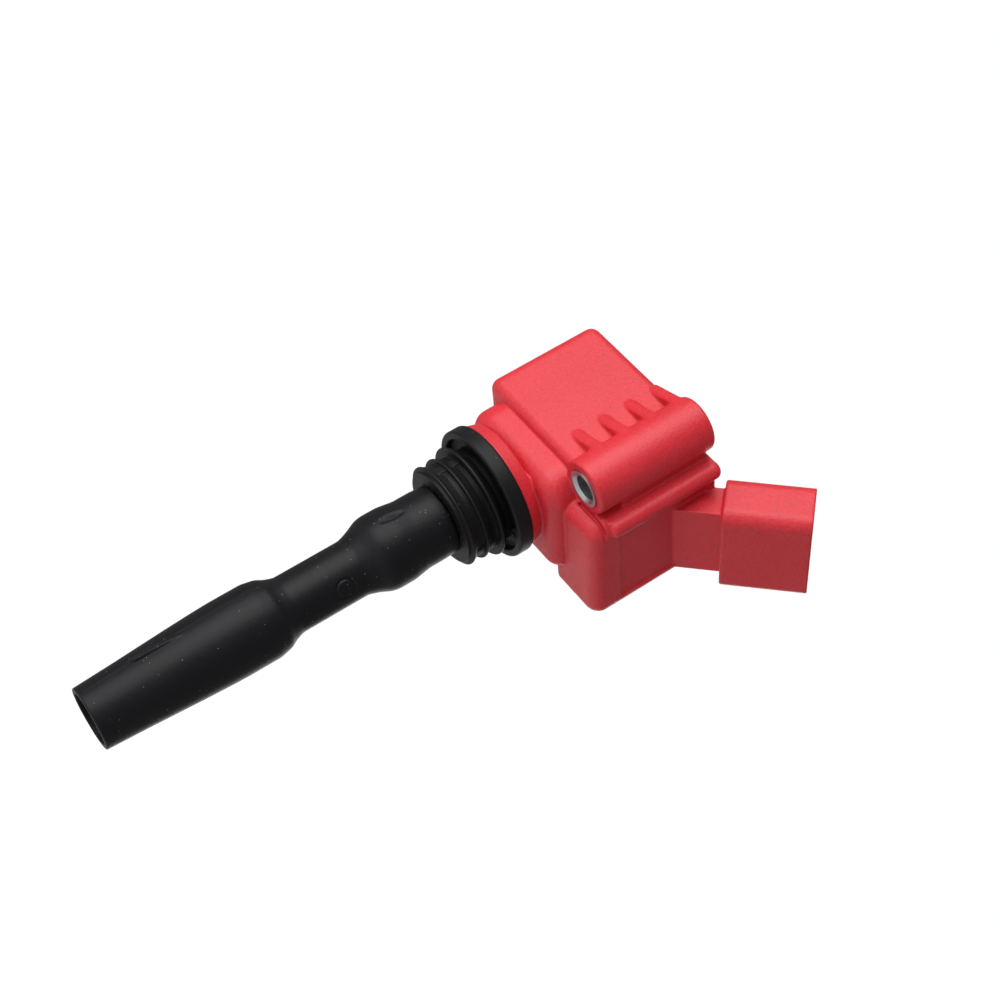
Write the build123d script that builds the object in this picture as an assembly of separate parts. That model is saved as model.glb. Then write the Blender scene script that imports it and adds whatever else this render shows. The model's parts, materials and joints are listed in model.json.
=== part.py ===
"""Plug-top ignition coil: moulded head, slanted connector, well seal and spark plug boot.

Frame: +Z runs up the plug well axis and the origin is where that axis crosses the seat of the
mounting bush. +X points to the connector and -Y is the large flat face of the head. Millimetres.
"""
import math
import os

from build123d import *

# ---- Head -------------------------------------------------------------------------------------
HEAD_LEFT = -18.7      # x of the closed end
HEAD_FLAT = -16.0      # y of the large flat face
HEAD_BACK = 27.6       # y of the potting opening's rim
HEAD_TOP = 34.0        # z of the top
HEAD_BASE = 1.3        # z where the flat block steps back to the shoulder
HEAD_END = 32.6        # x of the connector face
WALL = 2.3
HEAD_EDGE = 3.4        # rounding of the closed end
TOP_EDGE = 2.6         # rounding of the top and base edges of the flat block
BLOCK_END = 22.5       # x where the flat block runs into the connector block
TOP_BREAK = 1.2        # rounding of the connector block's top edge
CAVITY_CORNER = 1.5

# ---- Shoulder and tower -----------------------------------------------------------------------
SHOULDER_LEFT = -16.2
SHOULDER_RIGHT = 20.8
SHOULDER_FRONT = -13.5
SHOULDER_BACK = 18.6
SHOULDER_BASE = -7.2
SHOULDER_CORNER = 8.0    # upright corners
SHOULDER_HEEL = 4.6      # upright corner beside the connector block
SHOULDER_EDGE = 4.4      # rounding of the underside
TOWER_RADIUS = 11.4
FLANGE_RADIUS = 17.0
FLANGE_HEIGHT = 3.6
FLANGE_TAPER = 1.0
NIPPLE_RADIUS = 6.8
NIPPLE_END = -44.0
NIPPLE_CHAMFER = 0.8

# ---- Connector block --------------------------------------------------------------------------
LEDGE = -7.5           # y of the ledge under the bolt boss
BLOCK_BASE = -3.9
BLOCK_EDGE = 4.6
HORN_EDGE = 3.6          # rounding of the block's underside
GROOVE_WIDTH = 1.0
GROOVE_DEPTH = 1.1
LIP_RADIUS = 2.4       # bead along the ledge's edge
LIP_PROUD = 1.8        # how far the bead stands past the connector face
LIP_RISE = 0.6         # how far the bead stands above the head's top
LIP_EDGE = 1.7         # rounding of the bead's ends
PANEL_DEPTH = 0.6      # inset label field in the connector face
PANEL_LENGTH = 27.0
PANEL_MARGIN = 1.8
PANEL_CORNER = 2.0
PANEL_SHIFT = -0.6
PANEL_START = 3.9      # z of the field's lower end

# ---- Bolt boss and bush -----------------------------------------------------------------------
BOSS_X = 23.5
BOSS_Y = -14.0
BOSS_RADIUS = 7.3
BUSH_RADIUS = 5.0
BUSH_BORE = 3.4        # radius, clears an M6 bolt
BUSH_PROUD = 0.3       # the metal, not the plastic, takes the bolt load
BOSS_TOP = HEAD_TOP + 0.8
BUSH_CHAMFER = 0.8
BOSS_EDGE = 0.8
WEB_INSET = 1.5        # the web's side lies inside the boss's widest point
FOOT_WIDTH = 8.3
RIB_COUNT = 4
RIB_FOOT = 8.6         # x where the gusset ribs leave the flat face
RIB_WIDTH = 3.3
RIB_FIRST = 6.6        # height of the first rib above the bush seat
RIB_LAST_GAP = 0.2     # from the last rib to the head's top
RIB_CREST = 243.0      # where a rib meets the boss, degrees round its axis
RIB_EDGE = 1.0
WEB_START = 7.5        # the boss is undercut below this height

# ---- Connector --------------------------------------------------------------------------------
SLANT = 45.0           # mating direction, degrees from +X towards +Z
SOCKET_Y = 13.7        # middle of the connector across the head
SOCKET_DROP = 3.7      # middle of the connector below the slant line through the origin
SHROUD_WIDTH = 29.4
SHROUD_THICKNESS = 14.2
SHROUD_START = 49.4    # along the slant from the origin
SHROUD_DEPTH = 22.3
SHROUD_WALL = 1.8
SHROUD_CORNER = 3.6
SOCKET_DEPTH = 18.0
NECK_WIDTH = 23.2
NECK_SHIFT = -0.8
NECK_THICKNESS = 8.6
NECK_ROOT = 20.0       # how far the neck runs back into the head
SHROUD_EDGE = 0.6
RAIL_SPREAD = 5.0      # guide rails each side of the catch
RAIL_WIDTH = 1.4
RAIL_HEIGHT = 1.2
RAIL_SHORT = 1.0       # the rails end this far inside the shroud
CATCH_WIDTH = 6.0
CATCH_HEIGHT = 1.6
CATCH_START = 9.0      # back from the shroud's middle
CATCH_LAND = 1.4
CATCH_END = 3.0
TERMINAL_COUNT = 4
TERMINAL_PITCH = 5.5
TERMINAL_WIDTH = 1.5
TERMINAL_THICKNESS = 0.8
TERMINAL_REACH = 9.0   # free length in the socket
CARRIER_WIDTH = 19.2
CARRIER_THICKNESS = 4.4
CARRIER_ROOT = 12.0    # how far the terminals run back from the shroud
CARRIER_SETBACK = 1.5
TIP_CHAMFER = 0.28

# ---- Seal collar ------------------------------------------------------------------------------
SEAL_RADIUS = 17.6
SEAL_SEAT = -15.0      # underside of the disc, which lands on the well's rim
SEAL_BORE_GAP = 0.1
RING_RADII = (15.1, 13.9, 13.7)   # from the disc downwards
RING_FIRST = 3.45        # from the seat to the first ring's lower face
RING_PITCH = 3.85
RING_WIDTH = 1.3
RING_FOOT = 0.6          # how far a ring's cone stands off the bore
SEAL_EDGE = 0.5
SEAL_WALL = 2.0          # rim round the open underside of the disc
SEAL_RECESS = 2.2
BELLOWS_RADIUS = 12.6
LIP_THICKNESS = 0.8      # end wall of the seal, under the tower
TIE_COUNT = 3            # ribs that join the rings, each with a bridge in the disc's underside
TIE_WIDTH = 2.4
TIE_INSET = 0.5          # the ribs lie inside the last ring's edge
TIE_FIRST = -106.0       # degrees round the well axis

# ---- Boot -------------------------------------------------------------------------------------
BOOT_TIP = -124.5
BOOT_TOP = -29.2
BOOT_NECK_RADIUS = 9.2   # the short neck up to the seal
PLUG_BORE = 5.2        # radius that grips the plug's insulator
PLUG_GRIP = 15.0
PLUG_LEAD_IN = 5.0
MOUTH_BORE = 6.9
WAIST_RADIUS = 7.5
BULGE_RADIUS = 10.05
LOWER_RADIUS = 10.0
TIP_RADIUS = 8.15
FREE_GAP = 0.3         # between the boot and what it slides off
LOWER_TAPER = ((0.55, 11.5), (1.35, 25.3))   # outer radius gained above the tip, at a height over it
LOWER_START = 32.5     # heights over the tip of the thick lower part
LOWER_END = 46.0
SHOULDER_DRAFT = 0.15
STEP_SHORT = 0.7       # first step down from the thick lower part, then the step into the waist
STEP_INTO = 0.9
WAIST_START = 53.6     # over the tip
WAIST_STOP = 23.0      # below the top
BULGE_START = 15.5     # below the top
BULGE_END = 11.0
DISC_ANGLE = -26.0     # round mark on the waist
DISC_DROP = 28.8       # below the top
DISC_RADIUS = 2.5
DISC_DEPTH = 0.25
DENT_ANGLE = -93.0     # grip dent on the bulge
DENT_DROP = 10.5       # below the top
DENT_SIZE = (1.0, 2.2, 7.5)
MARK_ANGLE = -106.0    # raised pointer on the lower part
MARK_START = 14.0      # over the tip
MARK_LENGTH = 13.5
MARK_WIDTH = 2.4
MARK_HEIGHT = 0.6
BORE_STEP = 1.0        # height of each taper in the bore

# ---- Stalk internals --------------------------------------------------------------------------
TUBE_RADIUS = 5.15
TUBE_BORE = 3.35
TUBE_TOP = -7.0
TUBE_END = -101.4
TUBE_LIP = 1.5
CAP_GAP = 0.05         # radial running clearance of the contact cap
CAP_LENGTH = 7.7
CAP_REST = 0.3         # free height above the tube's lip
NOSE_RADIUS = 2.4
NOSE_LENGTH = 4.0
RESISTOR_LENGTH = 22.0
RESISTOR_RADIUS = 2.7
RESISTOR_TOP = -14.0
SPRING_RADIUS = 2.5
SPRING_WIRE = 0.4
SPRING_TURNS = 14
HV_STEM = 3.3

# ---- Transformer and electronics --------------------------------------------------------------
CORE_Y = 5.0           # winding axis, along X
CORE_Z = 17.6
CORE_WIDTH = 7.4
CORE_STACK = 9.0
FRAME_LIMB = 3.6
FRAME_CLEAR_END = 1.5    # from the core frame to the cavity's closed end
FRAME_CLEAR_BOSS = 0.3   # from the core frame to the wall under the bolt boss
MAGNET_THICKNESS = 1.2
PRIMARY_BORE = 6.0
PRIMARY_WALL = 0.7
PRIMARY_OUTER = 8.0
SECONDARY_BORE = 8.4
SECONDARY_WALL = 0.7
SECONDARY_OUTER = 11.6
SECONDARY_SECTIONS = 6
CHEEK = 0.8
BOARD_FACE = 23.0      # x of the side that the terminals reach
BOARD_THICKNESS = 1.2
BOARD_WIDTH = 21.0
BOARD_HEIGHT = 22.0
CHIP_THICKNESS = 1.9
SPREADER_THICKNESS = 1.5
FRAME_GAP = 0.4        # between the outer spool and the frame
BOBBIN_GAP = 0.4       # at each end of the spools
PRIMARY_FILL = 0.2     # the windings stay this far inside their cheeks
SECONDARY_FILL = 0.8
CUSHION_WIDTH = 2.8
CUSHION_SHORT = 3.0    # the cushions end inside the frame's ends
BOARD_LOW = 3.0        # board's lower edge above the cavity's floor
BOARD_SHIFT = -1.0     # board's middle across, from the connector's middle
CHIP_SIZE = 10.0
CHIP_HEIGHT = 9.0
CHIP_CHAMFER = 0.4
SPREADER_WIDTH = 14.5
SPREADER_HEIGHT = 18.0
SPREADER_SHIFT = 0.75
CAPACITOR_WIDTH = 12.0
CAPACITOR_DEPTH = 4.5
CAPACITOR_HEIGHT = 8.0
CAPACITOR_LOW = 4.0    # above the cavity's floor
CAPACITOR_EDGE = 0.6
LEAD_OFFSET = 6.2      # of the primary's leads from the winding axis
LEAD_WIDTH = 1.2
LEAD_THICKNESS = 0.6
DIODE_X = -8.0
DIODE_Y = -7.5
DIODE_RADIUS = 1.3
DIODE_LENGTH = 7.0
DIODE_LIFT = 1.5       # axis above the cavity's floor
DIODE_EDGE = 0.3
DROP_X = -0.6          # where the diode's lead meets the terminal's head
DROP_Y = -3.9
HV_HEAD_PROUD = 1.2    # the terminal's head past its stem
HV_HEAD_HEIGHT = 0.9
CAP_WALL = 1.2         # end wall of the resistor's caps
CAP_OVERLAP = 2.6      # how far the caps reach over the rod
RESISTOR_CHAMFER = 0.2
NOSE_GAP = 0.25        # round the nose, in the tube's lip
NOSE_EDGE = 0.8
CAP_FLOOR = 3.0        # the cap's solid end
CAP_SKIRT = 1.0
CAP_PEG = 1.5          # radius of the peg that centres the spring
SPRING_GAP = 0.1       # between the spring and the cap
POTTING_TOP = 1.0      # below the rim
POTTING_DEPTH = 2.2
SEATED = 0.02          # between pieces that rest on one another

LAST_RING = SEAL_SEAT - RING_FIRST - RING_PITCH * (len(RING_RADII) - 1)
TOWER_END = LAST_RING + 0.1
SEAL_END = LAST_RING - LIP_THICKNESS
BOOT_NECK_TOP = SEAL_END - FREE_GAP
SOCKET_END = SHROUD_START + SHROUD_DEPTH
SOCKET_FLOOR = SOCKET_END - SOCKET_DEPTH
CAVITY_LEFT = HEAD_LEFT + WALL
CAVITY_RIGHT = HEAD_END - WALL
CAVITY_FRONT = HEAD_FLAT + WALL
CAVITY_FLOOR = HEAD_BASE + WALL
CAVITY_TOP = HEAD_TOP - WALL
LOWER_FRONT = LEDGE + WALL
FRONT_RIGHT = BOSS_X - BOSS_RADIUS - WALL
FRAME_LEFT = CAVITY_LEFT + FRAME_CLEAR_END
FRAME_RIGHT = FRONT_RIGHT - FRAME_CLEAR_BOSS


def span_box(x0, x1, y0, y1, z0, z1):
    """A box between two corners."""
    size = Box(x1 - x0, y1 - y0, z1 - z0)
    return Pos((x0 + x1) / 2, (y0 + y1) / 2, (z0 + z1) / 2) * size


def rod(radius, z0, z1, x=0.0, y=0.0):
    """A cylinder along Z between two heights."""
    return Pos(x, y, (z0 + z1) / 2) * Cylinder(radius, z1 - z0)


def tube(outer, inner, z0, z1, x=0.0, y=0.0):
    """A plain sleeve along Z."""
    return rod(outer, z0, z1, x, y) - rod(inner, z0 - 1, z1 + 1, x, y)


def cone(lower, upper, z0, z1):
    """A frustum on the well axis, with its radii at its two heights."""
    return Pos(0, 0, (z0 + z1) / 2) * Cone(lower, upper, z1 - z0)


def turned(points):
    """A solid of revolution about the well axis from (radius, z) corners."""
    outline = Polyline(*[(r, 0, z) for r, z in points], close=True)
    return revolve(make_face(outline), Axis.Z)


def edges_along(part, axis, **bounds):
    """The straight edges along an axis whose middles lie inside the given bounds."""
    chosen = []
    for edge in part.edges().filter_by(axis):
        middle = edge.center()
        if all(lo <= getattr(middle, name) <= hi for name, (lo, hi) in bounds.items()):
            chosen.append(edge)
    return chosen


def slanted(part):
    """Turns a part built along +X (length) with its thickness along Z into the connector's frame."""
    radians = math.radians(SLANT)
    drop = Pos(SOCKET_DROP * math.sin(radians), SOCKET_Y, -SOCKET_DROP * math.cos(radians))
    return drop * Rot(0, -SLANT, 0) * part


def slant_box(start, end, width, thickness):
    """A box along the mating direction, centred on the connector."""
    return slanted(Pos((start + end) / 2, 0, 0) * Box(end - start, width, thickness))


# ---- Housing ----------------------------------------------------------------------------------
def flat_block():
    """The tall block with the flat face and its rounded closed end."""
    block = span_box(HEAD_LEFT, BLOCK_END, HEAD_FLAT, HEAD_BACK, HEAD_BASE, HEAD_TOP)
    block = fillet(edges_along(block, Axis.Z, X=(HEAD_LEFT - 1, HEAD_LEFT + 1)), HEAD_EDGE)
    top = block.faces().sort_by(Axis.Z)[-1].edges()
    base = block.faces().sort_by(Axis.Z)[0].edges()
    kept = [e for e in top + base if e.center().X < BLOCK_END - 1 and e.center().Y < HEAD_BACK - 1]
    return fillet(kept, TOP_EDGE)


def shoulder():
    """The rounded step between the head and the tower."""
    step = span_box(SHOULDER_LEFT, SHOULDER_RIGHT, SHOULDER_FRONT, SHOULDER_BACK,
                    SHOULDER_BASE, HEAD_BASE + WALL)
    upright = step.edges().filter_by(Axis.Z)
    heel = upright.sort_by(lambda e: e.center().X + e.center().Y)[-1]
    step = fillet([e for e in upright if e != heel], SHOULDER_CORNER)
    heel = step.edges().filter_by(Axis.Z).sort_by(lambda e: e.center().X + e.center().Y)[-1]
    step = fillet(heel, SHOULDER_HEEL)
    return fillet(step.faces().sort_by(Axis.Z)[0].edges(), SHOULDER_EDGE)


def connector_block():
    """The block behind the connector face, with its big rounded lower corners."""
    block = span_box(BOSS_X - BOSS_RADIUS, HEAD_END, LEDGE, HEAD_BACK, BLOCK_BASE, HEAD_TOP)
    block = fillet(edges_along(block, Axis.Z, X=(HEAD_END - 1, HEAD_END + 1)), BLOCK_EDGE)
    base = block.faces().sort_by(Axis.Z)[0].edges()
    block = fillet([e for e in base if e.center().X > BOSS_X - 2], HORN_EDGE)
    top = block.faces().sort_by(Axis.Z)[-1].edges()
    return fillet([e for e in top if e.center().X > HEAD_END - BLOCK_EDGE], TOP_BREAK) - ledge_groove()


def ledge_groove():
    """The groove that parts the ledge from the round corner under it, fading out at the connector face."""
    left = SHOULDER_RIGHT + 1
    half = GROOVE_WIDTH / 2
    slab = span_box(left, HEAD_END + 1, LEDGE - 1, LEDGE + BLOCK_EDGE + 2, -half, half)
    core = span_box(left - 1, HEAD_END, LEDGE + GROOVE_DEPTH, HEAD_BACK, -GROOVE_WIDTH, GROOVE_WIDTH)
    corner = edges_along(core, Axis.Z, X=(HEAD_END - 1, HEAD_END + 1), Y=(LEDGE, LEDGE + 2 * GROOVE_DEPTH))
    return slab - fillet(corner, BLOCK_EDGE + GROOVE_DEPTH / 2)


def ledge_bead():
    """The rounded bead along the ledge's outer edge."""
    x = HEAD_END + LIP_PROUD - LIP_RADIUS
    bead = rod(LIP_RADIUS, HEAD_BASE, HEAD_TOP + LIP_RISE, x, LEDGE + LIP_RADIUS)
    bead = fillet(bead.edges(), LIP_EDGE)
    return bead + span_box(BOSS_X, x, LEDGE, LEDGE + LIP_RADIUS, HEAD_BASE, HEAD_TOP)


def bolt_boss():
    """The boss round the bush, its web to the connector block and the undercut at its foot."""
    boss = rod(BOSS_RADIUS, BUSH_PROUD, BOSS_TOP, BOSS_X, BOSS_Y)
    boss = fillet(boss.edges(), BOSS_EDGE)
    side = BOSS_X + BOSS_RADIUS - WEB_INSET
    start = BOSS_X - BOSS_RADIUS
    web = span_box(start, side, BOSS_Y, LEDGE + WALL, WEB_START, HEAD_TOP - 1)
    foot = span_box(start, start + FOOT_WIDTH, BOSS_Y, LEDGE + WALL, HEAD_BASE, WEB_START + 1)
    return boss + web + foot


def gusset_rib(z):
    """One rib that climbs from the flat face to the top of the boss."""
    crest_x = BOSS_X + BOSS_RADIUS * math.cos(math.radians(RIB_CREST))
    crest_y = BOSS_Y + BOSS_RADIUS * math.sin(math.radians(RIB_CREST))
    with BuildSketch(Plane.XY.offset(z)) as profile:
        with BuildLine():
            Polyline((RIB_FOOT, HEAD_FLAT), (crest_x, crest_y), (BOSS_X, BOSS_Y), (RIB_FOOT, BOSS_Y),
                     close=True)
        make_face()
    rib = extrude(profile.sketch, RIB_WIDTH)
    slope = [e for e in rib.edges() if abs(e.center().Y - (HEAD_FLAT + crest_y) / 2) < 0.5]
    return fillet([e for e in slope if e.length > RIB_WIDTH + 1], RIB_EDGE)


def tower():
    """The hollow tower under the shoulder, its sealing flange and the nipple inside the boot."""
    flange_base = SHOULDER_BASE - FLANGE_HEIGHT
    flange = cone(FLANGE_RADIUS, FLANGE_RADIUS - FLANGE_TAPER, flange_base, SHOULDER_BASE)
    barrel = rod(TOWER_RADIUS, TOWER_END, HEAD_BASE)
    nipple = rod(NIPPLE_RADIUS, NIPPLE_END, TOWER_END)
    nipple = chamfer(nipple.edges().group_by(Axis.Z)[0], NIPPLE_CHAMFER)
    return flange + barrel + nipple


def neck_and_shroud():
    """The slanted neck and the open connector shroud."""
    neck = slant_box(SHROUD_START - NECK_ROOT, SHROUD_START + 1, NECK_WIDTH, NECK_THICKNESS)
    neck = Pos(0, NECK_SHIFT, 0) * neck
    past_face = span_box(HEAD_END - WALL, SOCKET_END, LEDGE, HEAD_BACK, 0, SOCKET_END)
    neck = neck & past_face
    middle = Pos((SHROUD_START + SOCKET_END) / 2, 0, 0)
    outer = Box(SHROUD_DEPTH, SHROUD_WIDTH, SHROUD_THICKNESS)
    outer = fillet(outer.edges().filter_by(Axis.X), SHROUD_CORNER)
    outer = fillet(outer.faces().sort_by(Axis.X)[0].edges(), SHROUD_EDGE)
    return neck + slanted(middle * outer) + latch()


def latch():
    """The catch and its two guide rails on the far side of the shroud."""
    upper = SHROUD_THICKNESS / 2
    half = SHROUD_DEPTH / 2
    back = half - CATCH_START
    start = (SHROUD_START + SOCKET_END) / 2
    rails = Part()
    for side in (-1, 1):
        rail = Box(SHROUD_DEPTH - 2 * RAIL_SHORT, RAIL_WIDTH, 2 * RAIL_HEIGHT)
        rails += Pos(start, side * RAIL_SPREAD, upper) * rail
    with BuildSketch(Plane.XZ) as wedge:
        with BuildLine():
            Polyline((back, upper - SHROUD_WALL / 2), (back, upper + CATCH_HEIGHT),
                     (back + CATCH_LAND, upper + CATCH_HEIGHT), (half - CATCH_END, upper - SHROUD_WALL / 2),
                     close=True)
        make_face()
    catch = Pos(start, CATCH_WIDTH / 2, 0) * extrude(wedge.sketch, CATCH_WIDTH)
    return slanted(rails + catch)


def socket_space():
    """The hollow of the shroud and the passage for the terminal carrier."""
    length = SOCKET_DEPTH + SHROUD_WALL
    wide = SHROUD_WIDTH - 2 * SHROUD_WALL
    high = SHROUD_THICKNESS - 2 * SHROUD_WALL
    hollow = Box(length, wide, high)
    hollow = fillet(hollow.edges().filter_by(Axis.X), SHROUD_CORNER - SHROUD_WALL)
    hollow = slanted(Pos(SOCKET_FLOOR + length / 2, 0, 0) * hollow)
    return hollow + slant_box(carrier_start(), SOCKET_FLOOR + 1, CARRIER_WIDTH, CARRIER_THICKNESS)


def carrier_start():
    """Where the terminal carrier begins, just inside the cavity."""
    return SHROUD_START - CARRIER_ROOT


def inner_space():
    """The cavity that holds the transformer and the driver, open at the back."""
    main = span_box(CAVITY_LEFT, CAVITY_RIGHT, LOWER_FRONT, HEAD_BACK + 1, CAVITY_FLOOR, CAVITY_TOP)
    front = span_box(CAVITY_LEFT, FRONT_RIGHT, CAVITY_FRONT, LOWER_FRONT + 1, CAVITY_FLOOR, CAVITY_TOP)
    main = fillet(edges_along(main, Axis.Y, X=(CAVITY_LEFT - 1, CAVITY_LEFT + 1)), CAVITY_CORNER)
    return main + front


def label_field():
    """The shallow inset field with round corners in the connector face."""
    height = HEAD_BACK - PANEL_MARGIN * 2 - LEDGE - 2 * LIP_RADIUS
    y = LEDGE + 2 * LIP_RADIUS + height / 2 + PANEL_SHIFT
    field = Box(2 * PANEL_DEPTH, height, PANEL_LENGTH)
    field = fillet(field.edges().filter_by(Axis.X), PANEL_CORNER)
    return Pos(HEAD_END, y, PANEL_START + PANEL_LENGTH / 2) * field


def housing():
    """The red moulding in one piece."""
    shell = flat_block() + shoulder() + connector_block()
    shell -= label_field()
    shell += ledge_bead()
    shell += bolt_boss()
    pitch = (HEAD_TOP - RIB_WIDTH - RIB_LAST_GAP - RIB_FIRST) / (RIB_COUNT - 1)
    for index in range(RIB_COUNT):
        shell += gusset_rib(RIB_FIRST + index * pitch)
    shell += tower()
    shell += neck_and_shroud()
    shell -= inner_space()
    shell -= socket_space()
    shell -= rod(BUSH_RADIUS, -1, BOSS_TOP + 1, BOSS_X, BOSS_Y)
    shell -= rod(TUBE_RADIUS, NIPPLE_END - 1, TUBE_TOP)
    shell -= rod(HV_STEM, TUBE_TOP - 1, CAVITY_FLOOR + 1)
    return shell


def mounting_bush():
    """The steel sleeve that the bolt clamps."""
    sleeve = tube(BUSH_RADIUS, BUSH_BORE, 0, BOSS_TOP + BUSH_PROUD, BOSS_X, BOSS_Y)
    rims = [e for e in sleeve.edges().filter_by(GeomType.CIRCLE) if abs(e.radius - BUSH_BORE) < 0.01]
    return chamfer(rims, BUSH_CHAMFER)


# ---- Seal collar ------------------------------------------------------------------------------
def seal_collar():
    """The rubber seal: a disc that lands on the well's rim and stepped rings that grip its wall."""
    top = SHOULDER_BASE - FLANGE_HEIGHT - SEATED
    bore = TOWER_RADIUS + SEAL_BORE_GAP
    disc = tube(SEAL_RADIUS, bore, SEAL_SEAT, top)
    rims = [e for e in disc.edges().filter_by(GeomType.CIRCLE) if abs(e.radius - SEAL_RADIUS) < 0.01]
    seal = fillet(rims, SEAL_EDGE)
    seal -= tube(SEAL_RADIUS - SEAL_WALL, BELLOWS_RADIUS, SEAL_SEAT - 1, SEAL_SEAT + SEAL_RECESS)
    seal += tube(BELLOWS_RADIUS, bore, LAST_RING, SEAL_SEAT + 1)
    for index, radius in enumerate(RING_RADII):
        z = SEAL_SEAT - RING_FIRST - RING_PITCH * index
        top_z = z + 2 * RING_WIDTH
        seal += turned([(bore, z), (radius, z), (radius, z + RING_WIDTH / 2), (bore + RING_FOOT, top_z),
                        (bore, top_z)])
    for index in range(TIE_COUNT):
        half = TIE_WIDTH / 2
        reach = RING_RADII[-1] - TIE_INSET
        tie = span_box(bore, reach, -half, half, LAST_RING + SEAL_EDGE, SEAL_SEAT + SEAL_EDGE)
        tie += span_box(bore, SEAL_RADIUS - SEAL_WALL / 2, -half, half,
                        SEAL_SEAT + SEAL_EDGE, SEAL_SEAT + SEAL_RECESS)
        seal += Rot(0, 0, 360 / TIE_COUNT * index + TIE_FIRST) * tie
    seal += tube(RING_RADII[-1], NIPPLE_RADIUS + SEAL_BORE_GAP, SEAL_END, TOWER_END)
    return seal - rod(bore, TOWER_END - SEATED, top + 1)


# ---- Boot -------------------------------------------------------------------------------------
def boot_outline():
    """Outer radii of the boot from its tip to its top."""
    return [
        (TIP_RADIUS, BOOT_TIP),
        *[(TIP_RADIUS + gain, BOOT_TIP + height) for gain, height in LOWER_TAPER],
        (LOWER_RADIUS - SHOULDER_DRAFT, BOOT_TIP + LOWER_START),
        (LOWER_RADIUS, BOOT_TIP + (LOWER_START + LOWER_END) / 2 - 2),
        (LOWER_RADIUS, BOOT_TIP + LOWER_END),
        (LOWER_RADIUS - STEP_SHORT, BOOT_TIP + LOWER_END + 3.5),
        (WAIST_RADIUS + STEP_INTO, BOOT_TIP + WAIST_START - 2.6),
        (WAIST_RADIUS, BOOT_TIP + WAIST_START),
        (WAIST_RADIUS, BOOT_TOP - WAIST_STOP),
        (WAIST_RADIUS + STEP_INTO, BOOT_TOP - WAIST_STOP + 2.8),
        (BULGE_RADIUS - 2 * SHOULDER_DRAFT, BOOT_TOP - BULGE_START - 1.7),
        (BULGE_RADIUS, BOOT_TOP - BULGE_START),
        (BULGE_RADIUS, BOOT_TOP - BULGE_END),
        (BULGE_RADIUS - STEP_SHORT, BOOT_TOP - BULGE_END + 4.5),
        (BULGE_RADIUS - STEP_SHORT, BOOT_TOP - 1.8),
        (BOOT_NECK_RADIUS, BOOT_TOP),
        (BOOT_NECK_RADIUS, BOOT_NECK_TOP),
    ]


def boot_bore():
    """Inner radii of the boot from its mouth to its top."""
    grip_top = BOOT_TIP + PLUG_LEAD_IN + PLUG_GRIP
    seat = NIPPLE_END - BORE_STEP
    bore = TUBE_RADIUS + FREE_GAP
    wide = NIPPLE_RADIUS + FREE_GAP
    return [
        (MOUTH_BORE, BOOT_TIP),
        (MOUTH_BORE - 0.3, BOOT_TIP + PLUG_LEAD_IN * 0.6),
        (PLUG_BORE, BOOT_TIP + PLUG_LEAD_IN),
        (PLUG_BORE, grip_top),
        (bore, grip_top + BORE_STEP),
        (bore, seat - BORE_STEP),
        (wide, seat),
        (wide, BOOT_NECK_TOP),
    ]


def boot():
    """The rubber stalk that seals on the plug's insulator."""
    body = turned(boot_outline() + list(reversed(boot_bore())))
    disc = Rot(0, 90, 0) * Cylinder(DISC_RADIUS, 2 * DISC_DEPTH)
    body -= Rot(0, 0, DISC_ANGLE) * Pos(WAIST_RADIUS, 0, BOOT_TOP - DISC_DROP) * disc
    dent = fillet(Box(*DENT_SIZE).edges().filter_by(Axis.X), DENT_SIZE[1] / 2.2)
    body -= Rot(0, 0, DENT_ANGLE) * Pos(BULGE_RADIUS, 0, BOOT_TOP - DENT_DROP) * dent
    return body + pull_mark()


def pull_mark():
    """The raised pointer on the lower boot: a blunt foot that thins towards the head."""
    base = BOOT_TIP + MARK_START
    half = MARK_WIDTH / 2
    inner = TIP_RADIUS - 1
    with BuildSketch(Plane.YZ.offset(inner)) as pointer:
        with BuildLine():
            Polyline((-half, base), (half, base), (0, base + MARK_LENGTH), close=True)
        make_face()
    raised = extrude(pointer.sketch, LOWER_RADIUS - inner)
    foot = outline_radius(base) + MARK_HEIGHT
    point = outline_radius(base + MARK_LENGTH)
    skin = turned([(inner, base), (foot, base), (point, base + MARK_LENGTH), (inner, base + MARK_LENGTH)])
    return Rot(0, 0, MARK_ANGLE) * (raised & skin)


def outline_radius(z):
    """The boot's outer radius at a height."""
    corners = boot_outline()
    for (low_r, low_z), (high_r, high_z) in zip(corners, corners[1:]):
        if low_z <= z <= high_z:
            return low_r + (high_r - low_r) * (z - low_z) / (high_z - low_z)
    return corners[-1][0]


# ---- Connector pieces -------------------------------------------------------------------------
def terminal_places():
    """Offsets of the terminals across the connector."""
    first = -(TERMINAL_COUNT - 1) / 2
    return [(first + index) * TERMINAL_PITCH for index in range(TERMINAL_COUNT)]


def terminal(offset):
    """One bent blade, from the board to its tip in the socket."""
    radians = math.radians(SLANT)
    start = carrier_start()
    corner_x = start * math.cos(radians) + SOCKET_DROP * math.sin(radians)
    corner_z = start * math.sin(radians) - SOCKET_DROP * math.cos(radians)
    tip = SOCKET_FLOOR + TERMINAL_REACH
    blade = slant_box(start, tip, TERMINAL_WIDTH, TERMINAL_THICKNESS)
    blade = chamfer(blade.edges().filter_by(Axis.Y).sort_by(Axis.X)[-2:], TIP_CHAMFER)
    half = TERMINAL_THICKNESS / 2
    wide = TERMINAL_WIDTH / 2
    foot = span_box(BOARD_FACE, corner_x + half, SOCKET_Y - wide, SOCKET_Y + wide,
                    corner_z - half, corner_z + half)
    return Pos(0, offset, 0) * (blade + foot)


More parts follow.
